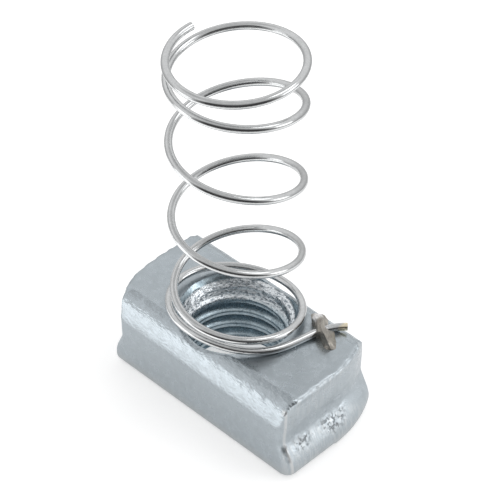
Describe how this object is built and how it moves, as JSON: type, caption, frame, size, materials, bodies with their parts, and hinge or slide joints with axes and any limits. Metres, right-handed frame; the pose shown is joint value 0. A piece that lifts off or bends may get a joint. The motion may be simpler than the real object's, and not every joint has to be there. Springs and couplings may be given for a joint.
{
  "type": "strut spring nut",
  "caption": "Long tapped strut nut with rolled edges, cam corners and toothed gripping grooves, and a tall coil spring whose tail is staked under a lug on its top face.",
  "frame": {"origin": "on the tapped hole's axis, in the plane of the toothed gripping face that the nut lies on; the blank's middle is 0.45 mm along +X", "axes": "+X along the nut's length, +Y across it, +Z along the hole's axis, from the gripping face up through the spring"},
  "size_m": [0.0365, 0.0188, 0.0556],
  "materials": {
    "zinc_steel": "zinc plated, pale blue grey with a fine matte grain",
    "spring_wire": "bright drawn wire, polished"
  },
  "bodies": {
    "root": {"nut_body": "zinc_steel", "spring": "spring_wire"}
  },
  "joints": []
}
